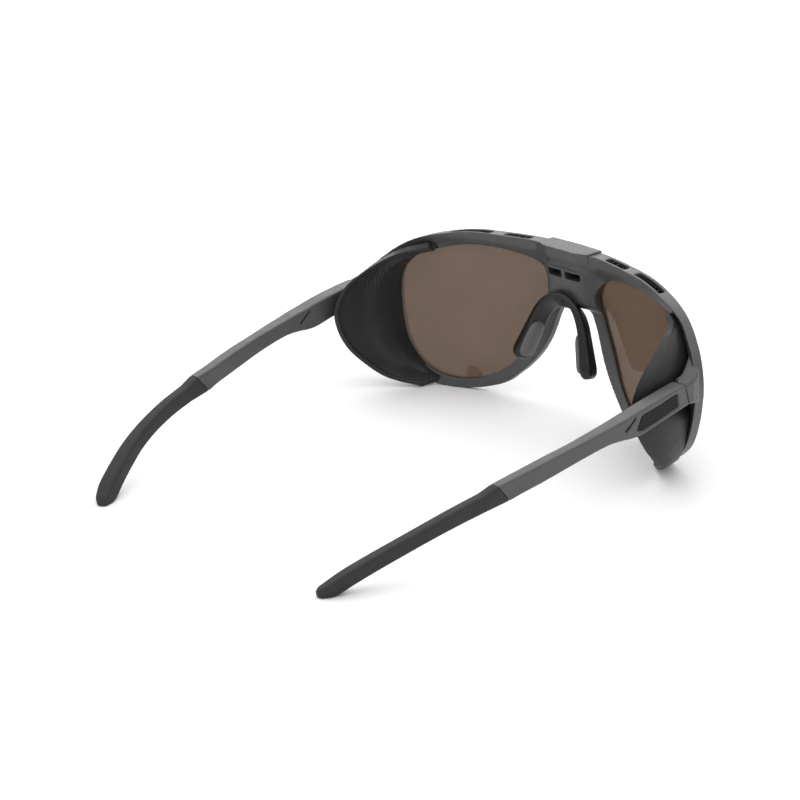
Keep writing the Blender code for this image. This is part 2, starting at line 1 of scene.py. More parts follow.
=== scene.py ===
"""Glacier glasses: the fine surfaces, soft parts, materials and studio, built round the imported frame.

Pieces are drawn in millimetres in the wearer's frame: X to the wearer's left, Y back from the brow,
Z up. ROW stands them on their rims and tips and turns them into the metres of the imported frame.
Left pieces are drawn, and right pieces are their mirror image (side = -1).
"""

import math

import bmesh
import bpy
from mathutils import Matrix, Vector


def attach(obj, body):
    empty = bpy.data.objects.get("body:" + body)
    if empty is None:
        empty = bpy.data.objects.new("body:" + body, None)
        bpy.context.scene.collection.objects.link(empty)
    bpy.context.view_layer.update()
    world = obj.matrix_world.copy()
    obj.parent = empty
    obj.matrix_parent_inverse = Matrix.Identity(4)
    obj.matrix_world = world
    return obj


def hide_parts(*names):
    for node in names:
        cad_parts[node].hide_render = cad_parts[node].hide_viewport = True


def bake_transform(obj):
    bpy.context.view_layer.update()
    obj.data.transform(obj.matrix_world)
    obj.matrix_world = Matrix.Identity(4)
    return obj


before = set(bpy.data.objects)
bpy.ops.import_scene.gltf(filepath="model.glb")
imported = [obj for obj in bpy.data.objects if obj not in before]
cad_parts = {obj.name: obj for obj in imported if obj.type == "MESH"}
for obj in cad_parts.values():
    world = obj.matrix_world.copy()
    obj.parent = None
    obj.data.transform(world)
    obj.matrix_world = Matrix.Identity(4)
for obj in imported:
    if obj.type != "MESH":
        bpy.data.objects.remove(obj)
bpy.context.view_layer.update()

MM = 0.001
SIDES = (("left", 1), ("right", -1))
LENGTH_TO_CENTRE = 73.92
STANDING_TILT = math.radians(0.49)
STANDING_DROP = 1.13
STANDING = Matrix.Translation((0, -LENGTH_TO_CENTRE, -STANDING_DROP)) @ Matrix.Rotation(STANDING_TILT, 4, "X")
ROW = Matrix.Diagonal((MM, MM, MM, 1)) @ STANDING

# Front
FACE_FRONT_Y = -5.6
WRAP_RADIUS = 108.0
RISE_RADIUS = 120.0
FACE_MID_Z = 28.0
TUCK_START_X = 50.0
TUCK_RADIUS = 100.0
RIM_THICKNESS = 2.6
BROW_EXTRA = 2.6
SIDE_EXTRA = 1.4
BRIDGE_DEPTH = 8.3
FRAME_HALF_OUTLINE = (
    (12, 55.8), (26, 55.2), (36.5, 54.6), (45.5, 52.8), (52, 50.8), (57.8, 48.0), (62.6, 44.2),
    (66.6, 39.8), (69.3, 32.5), (68.4, 25.5), (66.4, 18.7), (62.7, 11.4), (58.2, 6.9), (53.6, 3.7),
    (48.8, 1.5), (44.6, 1.0), (36.7, 1.6), (30.1, 3.3), (25.4, 5.4), (21.8, 8.5), (16.3, 14.3),
    (13.0, 19.1), (10.3, 24.9), (8.0, 31.3), (4.9, 36.4),
)
FRAME_TOP_MID = (0, 55.9)
FRAME_ARCH_MID = (0, 38.1)
LENS_OPENING = (
    (10.1, 42.5), (14, 47.4), (21.6, 49.6), (31.4, 50.3), (38.4, 49.6), (44.4, 48.1), (49.7, 46.3),
    (54.8, 44.2), (58.5, 41), (60.6, 36), (60.9, 29.3), (60.1, 22), (58.5, 15.7), (55.5, 10.2),
    (51.2, 6.4), (44.9, 4.2), (38.4, 4.4), (32.8, 6), (27.7, 8.8), (21.8, 14.2), (16.4, 24.2),
    (12.2, 33.7),
)
LENS_FRONT = 0.5
LENS_BACK = 1.7
LENS_BITE = 0.8
GROOVE_GAP = 0.15
GROOVE_DEEPER = 0.3
INNER_VENT = (15.8, 25.2)
OUTER_VENT = (30.2, 43.8)
VENT_OFFSETS = (1.4, 4.1)
VENT_DEPTH = 1.9
VENT_WALL_GAP = 0.15
VENT_RIB_SPACING = 2.4
VENT_RIB_HALF_WIDTH = 0.3
VENT_RIB_HEIGHT = 1.5
VENT_LOW_RIB_HEIGHT = 1.0
VENT_FLOOR = 0.5
BRIDGE_SLOTS = ((-3.7, 47.8), (3.7, 47.8))
BRIDGE_SLOT_SIZE = (5.8, 2.3)
PILL_HALF_WIDTH = 9.4
PILL_Z = 51.0
PILL_RADIUS = 1.2
PILL_DEPTH = 1.0
PILL_STEPS = 24
BUMPER_HALF_WIDTH = 10.2
BUMPER_Z = (52.9, 56.4)
BUMPER_FRONT = -0.45
BUMPER_BEHIND = 0.25

# Hinge
HINGE_X, HINGE_Y = 66.0, 28.0
KNUCKLE_RADIUS = 1.8
KNUCKLE_Z = (31.0, 32.9)
KNUCKLE_GAP = 0.2
KNUCKLE_RELIEF = 0.3
EAR_Z = (29.3, 34.6)
BORE_RADIUS = 0.8
BORE_Z = (27.0, 38.0)
SCREW_HEAD_RADIUS = 1.45
SCREW_SINK_TOP = 30.3
SEAM_MID = (27.4, 32.4)
SEAM_SLOPE = 0.33
SEAM_HALF_GAP = 0.15

END_PIECE = (
    (18.2, (62.6, 40.8), (66.8, 38.6), (67.6, 27.0), (63.4, 26.0)),
    (21.5, (64.2, 39.0), (69.4, 37.6), (69.9, 28.3), (64.8, 27.6)),
    (24.5, (65.2, 37.1), (70.2, 36.4), (70.5, 28.8), (65.4, 28.5)),
)
END_PIECE_REAR = ((65.4, 35.9), (70.3, 35.6), (70.4, 28.9), (65.4, 28.9))

# Temple: (y, centre x, centre z, width, height).
ARM_STATIONS = (
    (34.0, 68.0, 31.5, 5.0, 7.2),
    (41.0, 68.1, 30.3, 5.0, 7.4),
    (47.5, 68.0, 29.0, 5.0, 7.6),
    (51.0, 67.9, 28.6, 5.0, 7.1),
    (55.0, 67.8, 28.4, 4.8, 6.1),
    (60.0, 67.5, 27.9, 4.5, 5.1),
    (66.0, 67.1, 26.9, 4.2, 4.9),
    (73.0, 66.5, 25.5, 3.8, 5.1),
    (80.0, 65.7, 24.1, 3.9, 5.4),
    (87.0, 64.8, 22.6, 3.9, 5.6),
    (93.0, 63.9, 21.3, 3.7, 5.7),
)
SLEEVE_SEAM = (98.6, 63.1, 20.0, 3.6, 5.5)
SEAM_LEAN = 0.9
SLEEVE_STATIONS = (
    (105.0, 62.2, 18.5, 3.7, 5.1),
    (114.0, 60.6, 16.5, 3.8, 4.8),
    (123.0, 58.5, 13.9, 3.9, 4.5),
    (131.0, 56.0, 11.0, 4.0, 4.4),
    (138.0, 53.1, 7.9, 4.1, 4.4),
    (144.5, 50.1, 4.6, 4.1, 4.4),
    (149.0, 47.9, 1.9, 4.0, 4.2),
    (151.6, 46.6, 0.9, 3.3, 3.4),
    (152.8, 46.0, 0.6, 1.9, 2.0),
)
EMBLEM = ((31.8, 34.0), (47.6, 31.2), (49.6, 26.9), (46.6, 26.4), (31.0, 29.6))
EMBLEM_DEPTH = 0.7
EMBLEM_THICKNESS = 0.4
EMBLEM_SINK = 0.2
EMBLEM_GAP = 0.12
SLIT = ((49.4, 31.2), (50.2, 31.4), (54.3, 28.1), (54.0, 27.3))
SLIT_X = (60.0, 75.0)
ARM_EDGE_RADIUS = 0.6
TIP_END_RADIUS = 0.7
TIP_EDGE_RADIUS = 1.0
TIP_GAP = 0.12

# Nose saddle: (x, y, z, width, thickness) down one leg from the middle of the arch.
SADDLE_STATIONS = (
    (0.0, 3.6, 39.4, 6.4, 2.2),
    (3.2, 3.6, 38.8, 6.3, 2.3),
    (6.4, 3.8, 36.6, 6.2, 2.5),
    (8.7, 4.3, 33.2, 6.0, 2.8),
    (10.3, 4.9, 29.4, 6.0, 3.1),
    (11.9, 5.7, 25.2, 6.2, 3.4),
    (13.4, 6.6, 21.2, 6.2, 3.9),
    (14.1, 7.0, 19.0, 5.6, 3.7),
    (14.5, 7.2, 17.8, 3.4, 2.2),
)
PAD_RUN = (0.44, 0.86)
PAD_THICKNESS = 2.0
PAD_SHARE_OF_WIDTH = 0.86
PAD_SINK = 0.35
LUG = ((-2.5, 0.0, 39.1), (2.5, 3.4, 40.9))

# Side shield: where it meets the rim (x, z), and its free rear edge (x, y, z), top to bottom.
SHIELD_THICKNESS = 1.2
SHIELD_FLANGE_INSET = 0.4
SHIELD_REAR_GAP = 0.1
SHIELD_RIM_EDGE = (
    (49.0, 47.7), (52.2, 46.5), (56.0, 44.4), (59.8, 40.4), (61.4, 35.4), (61.7, 29.3), (61.0, 22.0),
    (59.3, 15.2), (56.2, 9.6), (52.9, 6.2), (50.2, 4.2), (47.4, 3.0),
)
SHIELD_REAR_EDGE = (
    (49.4, 13.4, 48.0), (53.0, 16.0, 46.9), (56.5, 22.5, 45.6), (59.6, 30.5, 42.2), (61.7, 38.5, 37.5),
    (62.4, 42.6, 30.5), (62.6, 41.2, 23.3), (62.5, 36.6, 15.9), (61.1, 30.5, 9.6), (57.9, 25.2, 4.9),
    (53.8, 20.4, 2.5), (49.8, 17.2, 1.8),
)
SHIELD_BULGE = 1.2
SHIELD_SWELL = ((0.5, 1.0), (0.78, 0.6), (1.0, 0.0))
SHIELD_FLARE = 3.0
SHIELD_RIB_HEIGHT = 0.38
SHIELD_BEAD = 0.35
SHIELD_BEAD_WIDTH = 1.1
SHIELD_RIB_WAVES = (16, 26)
RIM_CENTRE = (38, 28)

# Cell size and smoothing passes of each softened piece.
FRONT_SOFTNESS = (0.27, 4)
BUMPER_SOFTNESS = (0.22, 10)
SADDLE_SOFTNESS = (0.22, 10)
PAD_SOFTNESS = (0.2, 6)
VENT_SOFTNESS = (0.15, 3)
ARM_SOFTNESS = (0.24, 3)
EMBLEM_SOFTNESS = (0.12, 4)
TIP_SOFTNESS = (0.26, 5)

# Camera, in the wearer's frame.
CAMERA_PLACE = (-596.4, 667.8, 334.2)
CAMERA_AZIMUTH, CAMERA_ELEVATION = 225.18, 20.20
CAMERA_LENS = 136.1
CAMERA_SENSOR = 36

# Light
SKY_LOW, SKY_HIGH = 0.38, 1.75
SOFTBOX_AZIMUTH, SOFTBOX_ELEVATION = 135, 23
SOFTBOX_DISTANCE = 1.3
SOFTBOX_SIZE = (1.5, 0.7)
SOFTBOX_POWER = 4.5
FLOOR_HALF_SIZE = 6.0
FLOOR_DROP = 0.0001


# ---------------------------------------------------------------- shapes


def smooth_step(low, high, value):
    t = min(max((value - low) / (high - low), 0.0), 1.0)
    return t * t * (3 - 2 * t)


def face_y(x, z):
    """Depth of the front's outer face."""
    tuck = max(abs(x) - TUCK_START_X, 0.0) ** 2 / (2 * TUCK_RADIUS)
    return FACE_FRONT_Y + x * x / (2 * WRAP_RADIUS) + (z - FACE_MID_Z) ** 2 / (2 * RISE_RADIUS) + tuck


def rim_depth(x, z):
    """Thickness of the front behind its face: deeper at the brow, the sides and the bridge."""
    x = abs(x)
    rim = RIM_THICKNESS + BROW_EXTRA * smooth_step(47, 53, z) + SIDE_EXTRA * smooth_step(50, 62, x)
    bridge = (1 - smooth_step(5, 13, x)) * smooth_step(35.5, 38.5, z)
    return rim + (BRIDGE_DEPTH - rim) * bridge


def curved_slab(front, back, x_range=(-72.0, 72.0), z_range=(-3.0, 60.0), cell=1.5):
    """A slab that follows the front's face between two offsets, each a function of (x, z)."""
    bm = bmesh.new()
    columns = round((x_range[1] - x_range[0]) / cell)
    rows = max(round((z_range[1] - z_range[0]) / cell), 1)
    bmesh.ops.create_grid(bm, x_segments=columns, y_segments=rows, size=0.5)
    solid = bmesh.ops.extrude_face_region(bm, geom=bm.faces[:])
    moved = {item for item in solid["geom"] if isinstance(item, bmesh.types.BMVert)}
    for vert in bm.verts:
        x = x_range[0] + (vert.co.x + 0.5) * (x_range[1] - x_range[0])
        z = z_range[0] + (vert.co.y + 0.5) * (z_range[1] - z_range[0])
        offset = back(x, z) if vert in moved else front(x, z)
        vert.co = (x, face_y(x, z) + offset, z)
    return bm


def outline_prism(loops, y_range=(-20.0, 45.0), steps=10):
    """The closed outlines, in (x, z) and each inside the one before, filled and extruded along Y."""
    curve = bpy.data.curves.new("outline", "CURVE")
    curve.dimensions = "2D"
    curve.fill_mode = "BOTH"
    curve.resolution_u = steps
    curve.extrude = (y_range[1] - y_range[0]) / 2
    for loop in loops:
        spline = curve.splines.new("BEZIER")
        spline.bezier_points.add(len(loop) - 1)
        spline.use_cyclic_u = True
        for point, (x, z) in zip(spline.bezier_points, loop):
            point.co = (x, z, 0)
            point.handle_left_type = "AUTO"
            point.handle_right_type = "AUTO"
    holder = bpy.data.objects.new("outline", curve)
    bpy.context.scene.collection.objects.link(holder)
    mesh = bpy.data.meshes.new_from_object(holder.evaluated_get(bpy.context.evaluated_depsgraph_get()))
    bpy.data.objects.remove(holder)
    bm = bmesh.new()
    bm.from_mesh(mesh)
    turn = Matrix.Translation((0, sum(y_range) / 2, 0)) @ Matrix.Rotation(math.pi / 2, 4, "X")
    bmesh.ops.transform(bm, matrix=turn, verts=bm.verts)
    bmesh.ops.remove_doubles(bm, verts=bm.verts, dist=0.001)
    return bm


def grown(loop, distance):
    """The closed outline moved outwards by distance, away from its inside."""
    count = len(loop)
    area = sum(a[0] * b[1] - b[0] * a[1] for a, b in zip(loop, loop[1:] + loop[:1]))
    turn = math.copysign(1.0, area)
    moved = []
    for i, (x, z) in enumerate(loop):
        before, after = loop[i - 1], loop[(i + 1) % count]
        along = Vector((after[0] - before[0], after[1] - before[1])).normalized()
        moved.append((x + turn * along.y * distance, z - turn * along.x * distance))
    return tuple(moved)


def mirrored(loop):
    return tuple((-x, z) for x, z in reversed(loop))


def loft(rings):
    """A closed body through rings of equally many points."""
    bm = bmesh.new()
    loops = [[bm.verts.new(point) for point in ring] for ring in rings]
    count = len(loops[0])
    for one, two in zip(loops, loops[1:]):
        for i in range(count):
            j = (i + 1) % count
            bm.faces.new((one[i], one[j], two[j], two[i]))
    bm.faces.new(reversed(loops[0]))
    bm.faces.new(loops[-1])
    return bm


def rounded(corners, radius, steps=4):
    """The polygon with each corner rounded by a quadratic curve that starts radius before it."""
    corners = [Vector(corner) for corner in corners]
    points = []
    for i, corner in enumerate(corners):
        before = corner + (corners[i - 1] - corner).normalized() * radius
        after = corner + (corners[(i + 1) % len(corners)] - corner).normalized() * radius
        for step in range(steps + 1):
            t = step / steps
            points.append(before * (1 - t) ** 2 + corner * 2 * t * (1 - t) + after * t * t)
    return points


def cylinder(x, y, z_range, radius, segments=40):
    bm = bmesh.new()
    height = z_range[1] - z_range[0]
    place = Matrix.Translation((x, y, z_range[0] + height / 2))
    bmesh.ops.create_cone(
        bm, cap_ends=True, segments=segments, radius1=radius, radius2=radius, depth=height, matrix=place
    )
    return bm


def box(low, high):
    bm = bmesh.new()
    size = Vector(high) - Vector(low)
    place = Matrix.Translation((Vector(low) + Vector(high)) / 2) @ Matrix.Diagonal((*size, 1))
    bmesh.ops.create_cube(bm, size=1.0, matrix=place)
    return bm


def plate(corners, x_range):
    """A flat plate standing in the YZ plane, through the given (y, z) corners."""
    return loft([[(x, y, z) for y, z in corners] for x in x_range])


def through(points, per_span):
    """Points along the smooth curve (Catmull-Rom) through the given ones, of any dimension."""
    points = [Vector(point) for point in points]
    padded = [2 * points[0] - points[1], *points, 2 * points[-1] - points[-2]]
    found = []
    for a, b, c, d in zip(padded, padded[1:], padded[2:], padded[3:]):
        for step in range(per_span):
            t = step / per_span
            second = (2 * a - 5 * b + 4 * c - d) * t**2
            third = (3 * b - a - 3 * c + d) * t**3
            found.append(0.5 * (2 * b + (c - a) * t + second + third))
    return found + [points[-1]]


def stations_through(stations, per_span):
    """Smooth stations of five numbers each, taken as a 3-D place and a 2-D size."""
    places = through([s[:3] for s in stations], per_span)
    sizes = through([s[3:] for s in stations], per_span)
    return [(*place, *size) for place, size in zip(places, sizes)]


# ---------------------------------------------------------------- pieces


def temporary(bm):
    """The bmesh as an unnamed object, for the Booleans of one piece."""
    bmesh.ops.recalc_face_normals(bm, faces=bm.faces)
    mesh = bpy.data.meshes.new("temporary")
    bmesh.ops.transform(bm, matrix=Matrix.Scale(MM, 4), verts=bm.verts)
    bm.to_mesh(mesh)
    bm.free()
    obj = bpy.data.objects.new("temporary", mesh)
    bpy.context.scene.collection.objects.link(obj)
    return obj


def evaluated_mesh(obj):
    graph = bpy.context.evaluated_depsgraph_get()
    graph.update()
    return bpy.data.meshes.new_from_object(obj.evaluated_get(graph))


def carve(base, *steps):
    """The base bmesh after (operation, bmesh) Booleans, as a bmesh in millimetres."""
    body = temporary(base)
    others = [temporary(bm) for _, bm in steps]
    for other, (operation, _) in zip(others, steps):
        modifier = body.modifiers.new(operation, "BOOLEAN")
        modifier.operation = operation
        modifier.solver = "EXACT"
        modifier.object = other
        other.hide_render = True
    mesh = evaluated_mesh(body)
    for obj in (body, *others):
        bpy.data.objects.remove(obj)
    bm = bmesh.new()
    bm.from_mesh(mesh)
    bmesh.ops.transform(bm, matrix=Matrix.Scale(1 / MM, 4), verts=bm.verts)
    return bm


def softened(bm, voxel, passes):
    """The closed body remade in even cells and smoothed, which rounds its edges by about a cell."""
    obj = temporary(bm)
    remesh = obj.modifiers.new("cells", "REMESH")
    remesh.mode = "VOXEL"
    remesh.voxel_size = voxel * MM
    smooth = obj.modifiers.new("smooth", "SMOOTH")
    smooth.factor = 0.5
    smooth.iterations = passes
    mesh = evaluated_mesh(obj)
    bpy.data.objects.remove(obj)
    bm = bmesh.new()
    bm.from_mesh(mesh)
    bmesh.ops.transform(bm, matrix=Matrix.Scale(1 / MM, 4), verts=bm.verts)
    return bm


def piece(name, bm, material, body, replaces=(), side=1, sharp=None):
    """One finished, visible piece that rides on a body of the frame."""
    mirror = Matrix.Diagonal((side, 1, 1, 1))
    bmesh.ops.transform(bm, matrix=ROW @ mirror, verts=bm.verts)
    bmesh.ops.recalc_face_normals(bm, faces=bm.faces)
    mesh = bpy.data.meshes.new(name)
    bm.to_mesh(mesh)
    bm.free()
    mesh.shade_smooth()
    if sharp:
        mesh.set_sharp_from_angle(angle=math.radians(sharp))
    mesh.materials.append(material)
    obj = bpy.data.objects.new(name, mesh)
    bpy.context.scene.collection.objects.link(obj)
    if body:
        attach(obj, body)
    if replaces:
        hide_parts(*replaces)
    return obj


def frame_outline():
    """The front's whole outer outline, clockwise from the middle of its top."""
    return (FRAME_TOP_MID, *FRAME_HALF_OUTLINE, FRAME_ARCH_MID, *mirrored(FRAME_HALF_OUTLINE))


def seam_y(z):
    """Where the slanted hinge seam lies at height z."""
    return SEAM_MID[0] + (z - SEAM_MID[1]) * SEAM_SLOPE


def end_piece():
    """The part of the front that runs back from the rim's corner to the hinge seam."""
    rings = [[(p.x, y, p.y) for p in rounded(corners, 1.2)] for y, *corners in END_PIECE]
    rings.append([(p.x, seam_y(p.y) - SEAM_HALF_GAP, p.y) for p in rounded(END_PIECE_REAR, 0.9)])
    return loft(rings)


def brow_top(x):
    """Height of the brow's top edge."""
    outline = FRAME_HALF_OUTLINE
    for (x0, z0), (x1, z1) in zip(outline, outline[1:]):
        if x0 <= x <= x1:
            return z0 + (z1 - z0) * (x - x0) / (x1 - x0)
    return outline[0][1]


def side_flipped(bm, side):
    bmesh.ops.transform(bm, matrix=Matrix.Diagonal((side, 1, 1, 1)), verts=bm.verts)
    if side < 0:
        bmesh.ops.reverse_faces(bm, faces=bm.faces)
    return bm


def lens_slab(grow):
    """A slab as thick as the lens and grow more on each side, larger than the lens all round."""
    return curved_slab(
        lambda x, z: LENS_FRONT - grow, lambda x, z: LENS_BACK + grow, (3.0, 66.0), (0.0, 56.0)
    )


def vent_slot(x_range):
    """The slot cut down into the brow's top for one vent."""
    z_range = (brow_top(x_range[1]) - VENT_DEPTH, 60)
    return curved_slab(lambda x, z: VENT_OFFSETS[0], lambda x, z: VENT_OFFSETS[1], x_range, z_range, 2.5)


def pill(depth):
    """A bar with round ends along the bridge's rear face, which reaches into that face by depth."""
    rings = []
    for k in range(PILL_STEPS + 1):
        x = PILL_HALF_WIDTH * (2 * k / PILL_STEPS - 1)
        into_end = max(abs(x) - PILL_HALF_WIDTH + PILL_RADIUS, 0)
        half = PILL_RADIUS * math.sqrt(max(1 - into_end ** 2 / PILL_RADIUS**2, 0.02))
        y = face_y(x, PILL_Z) + rim_depth(x, PILL_Z)
        rings.append([
            (x, y - depth, PILL_Z - half), (x, y + 3, PILL_Z - half),
            (x, y + 3, PILL_Z + half), (x, y - depth, PILL_Z + half),
        ])
    return loft(rings)


def front_frame(material):
    """The one-piece front, with the hinge ears, lens grooves, vents, bridge slots and the bridge's groove."""
    openings = [frame_outline(), LENS_OPENING, mirrored(LENS_OPENING)]
    steps = [("INTERSECT", outline_prism(openings))]
    knuckle_space = (KNUCKLE_Z[0] - KNUCKLE_GAP, KNUCKLE_Z[1] + KNUCKLE_GAP)
    for _, side in SIDES:
        x = side * HINGE_X
        steps.append(("UNION", side_flipped(end_piece(), side)))
        for z_range in ((EAR_Z[0], knuckle_space[0]), (knuckle_space[1], EAR_Z[1])):
            steps.append(("UNION", cylinder(x, HINGE_Y, z_range, KNUCKLE_RADIUS)))
        swept = cylinder(x, HINGE_Y, knuckle_space, KNUCKLE_RADIUS + KNUCKLE_RELIEF)
        steps.append(("DIFFERENCE", swept))
        steps.append(("DIFFERENCE", cylinder(x, HINGE_Y, BORE_Z, BORE_RADIUS)))
        steps.append(("DIFFERENCE", cylinder(x, HINGE_Y, (BORE_Z[0], SCREW_SINK_TOP), SCREW_HEAD_RADIUS)))
        groove_edge = outline_prism([grown(LENS_OPENING, LENS_BITE + GROOVE_DEEPER)])
        groove = carve(lens_slab(GROOVE_GAP), ("INTERSECT", groove_edge))
        steps.append(("DIFFERENCE", side_flipped(groove, side)))
        for x_range in (INNER_VENT, OUTER_VENT):
            steps.append(("DIFFERENCE", side_flipped(vent_slot(x_range), side)))
    width, height = BRIDGE_SLOT_SIZE
    for x, z in BRIDGE_SLOTS:
        low, high = (x - width / 2, -1, z - height / 2), (x + width / 2, 20, z + height / 2)
        steps.append(("DIFFERENCE", box(low, high)))
    steps.append(("DIFFERENCE", pill(PILL_DEPTH)))
    body = carve(curved_slab(lambda x, z: 0.0, rim_depth), *steps)
    body = softened(body, *FRONT_SOFTNESS)
    piece("front_shell", body, material, "front", ("front_frame",))


def vent_lattice(vent_name, x_range, side_name, side, material):
    """The dark floor of a brow vent, with ribs across it."""
    x0, x1 = x_range
    low = brow_top(x1) - VENT_DEPTH + VENT_WALL_GAP

    def between_walls(x_span, z_span, cell):
        return curved_slab(
            lambda x, z: VENT_OFFSETS[0] + VENT_WALL_GAP, lambda x, z: VENT_OFFSETS[1] - VENT_WALL_GAP,
            x_span, z_span, cell,
        )

    body = between_walls((x0 + VENT_WALL_GAP, x1 - VENT_WALL_GAP), (low, low + VENT_FLOOR), 0.5)
    count = round((x1 - x0) / VENT_RIB_SPACING)
    ribs = []
    for k in range(1, count):
        x = x0 + (x1 - x0) * k / count
        height = VENT_RIB_HEIGHT if k % 3 else VENT_LOW_RIB_HEIGHT
        x_span = (x - VENT_RIB_HALF_WIDTH, x + VENT_RIB_HALF_WIDTH)
        ribs.append(("UNION", between_walls(x_span, (low + 0.2, low + 0.2 + height), 0.3)))
    name = f"vent_insert_{vent_name}_{side_name}"
    body = softened(carve(body, *ribs), *VENT_SOFTNESS)
    piece(f"{name}_lattice", body, material, "front", (name,), side)


def lens(side_name, side, material):
    """A curved lens whose edge sits in the rim's groove."""
    body = carve(lens_slab(0.0), ("INTERSECT", outline_prism([grown(LENS_OPENING, LENS_BITE)])))
    name = f"lens_{side_name}"
    piece(f"{name}_glass", body, material, "front", (name,), side, sharp=30)


def brow_bumper(material):
    """The cap over the middle of the brow, with all its edges rounded."""
    body = curved_slab(
        lambda x, z: BUMPER_FRONT, lambda x, z: rim_depth(x, z) + BUMPER_BEHIND,
        (-BUMPER_HALF_WIDTH, BUMPER_HALF_WIDTH), BUMPER_Z, 0.75,
    )
    body = softened(body, *BUMPER_SOFTNESS)
    piece("brow_cap", body, material, "front", ("brow_bumper",))


def saddle_frames(stations):
    """For each station of the saddle: centre, width direction and outward thickness direction."""
    centres = [Vector(station[:3]) for station in stations]
    frames = []
    for i, centre in enumerate(centres):
        before = centres[i - 1] if i else Vector((-centres[1].x, centres[1].y, centres[1].z))
        after = centres[min(i + 1, len(centres) - 1)]
        along = (after - before).normalized()
        leg = i / (len(centres) - 1)
        across = Vector((0.35 * min(leg * 2, 1), 0.62 + 0.3 * leg, 0.78 * (1 - leg) ** 2))
        across = (across - along * across.dot(along)).normalized()
        frames.append((centre, across, along.cross(across).normalized()))
    return frames


def nose_saddle(material):
    """The springy bridge: one arch whose legs end in rounded bulbs."""
    stations = stations_through(SADDLE_STATIONS, 4)
    rings = []
    for (*_, width, thickness), (centre, across, out) in zip(stations, saddle_frames(stations)):
        w, t = width / 2, thickness / 2
        corners = rounded([(-w, -t), (w, -t), (w, t), (-w, t)], min(0.9, t * 0.9))
        rings.append([centre + across * p.x + out * p.y for p in corners])
    other = [[Vector((-p.x, p.y, p.z)) for p in ring] for ring in rings[:0:-1]]
    body = softened(carve(loft(other + rings), ("UNION", box(*LUG))), *SADDLE_SOFTNESS)
    piece("nose_bridge", body, material, "front", ("nose_saddle",))


def nose_pad(side_name, side, material):
    """A soft crowned cushion on the nose side of a saddle leg."""
    stations = stations_through(SADDLE_STATIONS, 6)
    frames = saddle_frames(stations)
    first, last = (round(share * (len(stations) - 1)) for share in PAD_RUN)
    rings = []
    for i in range(first, last + 1):
        (*_, width, thickness), (centre, across, out) = stations[i], frames[i]
        t = (i - first) / (last - first)
        swell = max(1 - (2 * t - 1) ** 4, 0.03) ** 0.5
        w = width / 2 * PAD_SHARE_OF_WIDTH * swell
        low = -(thickness / 2 - PAD_SINK)
        crown = PAD_THICKNESS * swell
        ring = []
        for k in range(17):
            a = math.pi * k / 16
            ring.append(centre + across * (w * math.cos(a)) + out * (low - crown * math.sin(a) ** 0.7))
        rings.append(ring)
    body = softened(loft(rings), *PAD_SOFTNESS)
    name = f"nose_pad_{side_name}"
    pad = piece(f"{name}_cushion", body, material, "front", (name,), side)


def shield_columns(columns_per_span, rows_per_span):
    """Inner surface, outer surface and outward direction of a side shield, along curves to its free edge.

    Each curve lines the rim's inner wall and then runs back. The outer surface first covers the rim's rear.
    """
    edge = through(SHIELD_RIM_EDGE, columns_per_span)
    centre = Vector(RIM_CENTRE)
    half = SHIELD_THICKNESS / 2
    columns = []
    for rim, far in zip(edge, through(SHIELD_REAR_EDGE, columns_per_span)):
        outward = (rim - centre).normalized()
        out = Vector((outward.x, 0, outward.y))
        opening = rim - outward * 0.6
        inner = opening - outward * SHIELD_FLANGE_INSET
        flare = SHIELD_FLARE * smooth_step(49, 57, rim.x) * (1 - smooth_step(22, 28, rim.y))
        seat = rim + outward * (0.9 + flare)
        rear = face_y(*seat) + rim_depth(*seat)
        bulge = Vector((SHIELD_BULGE * smooth_step(44, 60, rim.x), 0, 0))
        lens_y = face_y(*inner) + LENS_BACK + 0.35
        inside = Vector((inner.x, rear, inner.y))
        outside = Vector((seat.x, rear + SHIELD_REAR_GAP, seat.y))
        wall = Vector((opening.x, 0, opening.y)) - out * 0.1
        inner_route = [Vector((inner.x, lens_y, inner.y)), inside]
        outer_route = [wall + Vector((0, lens_y, 0)), wall + Vector((0, rear + SHIELD_REAR_GAP, 0)), outside]
        inner_route.append(inside.lerp(far, 0.28) + bulge * 0.56 - out * half * 1.12)
        outer_route.append(outside.lerp(far, 0.15) + bulge * 0.6 + out * half * 0.6)
        for share, swell in SHIELD_SWELL:
            inner_route.append(inside.lerp(far, share) + bulge * swell - out * half)
            outer_route.append(outside.lerp(far, share) + bulge * swell + out * half)
        columns.append((through(inner_route, rows_per_span), through(outer_route, rows_per_span), out))
    return columns


def rib_height(t, s):
    """Fine diagonal ribs on the inner face, near the shield's front corners."""
    corner = max(smooth_step(0.55, 0.75, 1 - s), smooth_step(0.72, 0.85, s))
    corner *= smooth_step(0.36, 0.4, t) * (1 - smooth_step(0.72, 0.84, t))
    along, across = SHIELD_RIB_WAVES
    wave = math.sin(2 * math.pi * (t * along + s * across))
    return SHIELD_RIB_HEIGHT * corner * max(wave, 0.0)


def shield_layer(bm, curves, layer, away):
    """Rows of vertices along one surface, with its ribs or bead. away is -1 inside and 1 outside."""
    rows, columns = len(curves[0][0]), len(curves)
    verts = []
    for r in range(rows):
        line = []
        for c, curve in enumerate(curves):
            t, s = r / (rows - 1), c / (columns - 1)
            to_edge = (curve[layer][-1] - curve[layer][r]).length
            bead = SHIELD_BEAD * math.exp(-((to_edge / SHIELD_BEAD_WIDTH - 1) ** 2) * 2)
            rounding = SHIELD_THICKNESS * 0.3 * (1 - smooth_step(0, 0.7, to_edge))
            rib = rib_height(t, s) if layer == 0 else 0.0
            line.append(bm.verts.new(curve[layer][r] + curve[2] * away * (bead + rib - rounding)))
        verts.append(line)
    return verts


